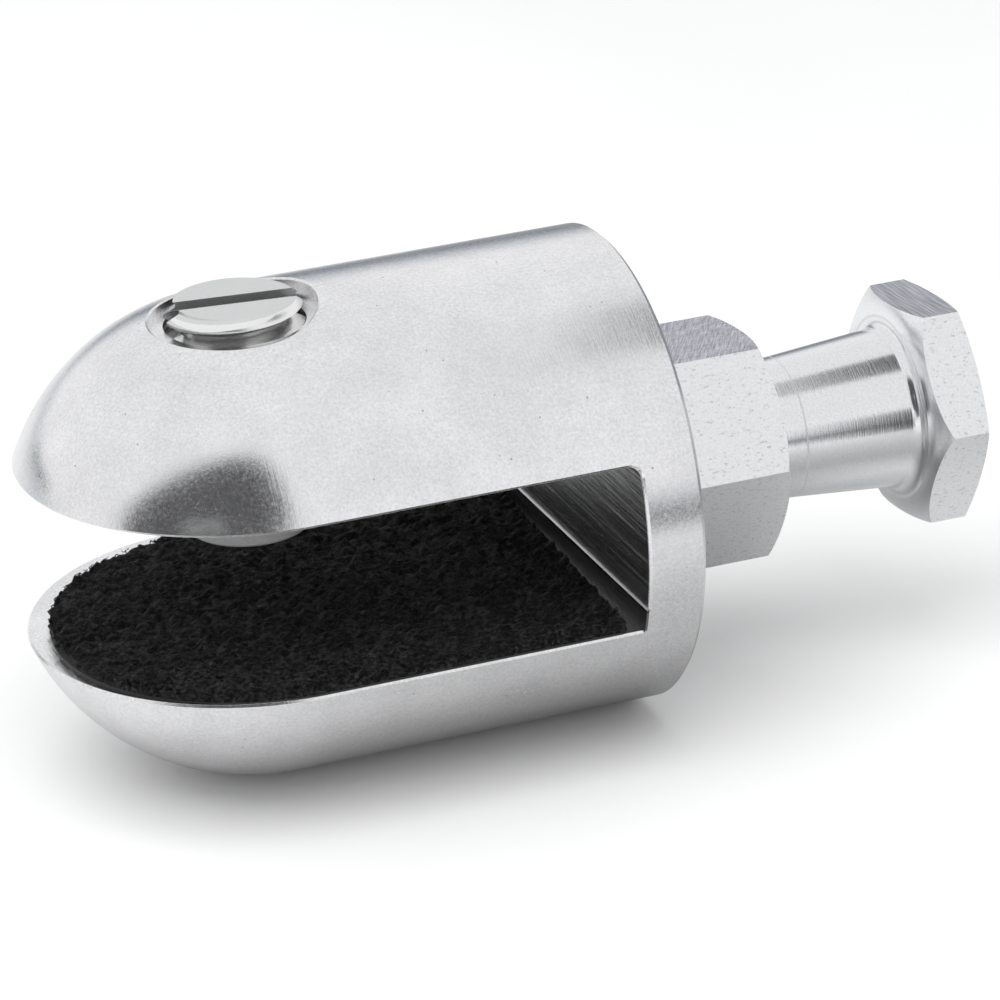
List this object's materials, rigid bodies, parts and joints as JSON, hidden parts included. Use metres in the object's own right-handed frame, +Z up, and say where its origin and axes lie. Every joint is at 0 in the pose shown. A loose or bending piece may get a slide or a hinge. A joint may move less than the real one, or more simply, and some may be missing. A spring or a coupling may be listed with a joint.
{
  "type": "edge clamp head with hexagon stud",
  "caption": "Bullet-nosed turned aluminium clamp head with a slotted jaw, a slotted clamp screw, a pile-faced jaw pad and a necked hexagon mounting stud.",
  "frame": {"origin": "centre of the stud's free end face", "axes": "+X out of the stud's free end, -X out of the jaws' nose, +Z up towards the clamp screw's slotted end"},
  "size_m": [0.0708, 0.035, 0.035],
  "materials": {
    "body_aluminium": "turned, milled and tumbled to a satin",
    "stud_aluminium": "extruded hexagon bar, turned neck",
    "screw_steel": "pale zinc",
    "tip_plastic": "smooth grey acetal",
    "pad_pile": "black curled pile",
    "adhesive_film": "adhesive film"
  },
  "bodies": {
    "clamp": {"jaw_body": "body_aluminium", "hex_stud": "stud_aluminium", "jaw_pad": "pad_pile", "pad_adhesive": "adhesive_film"},
    "tip": {"pressure_tip": "tip_plastic"},
    "screw": {"clamp_screw": "screw_steel"}
  },
  "joints": [
    {"name": "screw_travel", "type": "slide", "parent": "clamp", "child": "tip", "axis": [0, 0, 1], "range_m": [-0.00525, 0.006]},
    {"name": "screw_turn", "type": "hinge", "parent": "tip", "child": "screw", "pos_m": [-0.05439, 0, 0.0004], "axis": [0, 0, 1], "range_deg": [-1260.5, 1440.5]}
  ],
  "couplings": [
    {"joint": "screw_turn", "follows": "screw_travel", "rad_per_m": 4188.8}
  ]
}
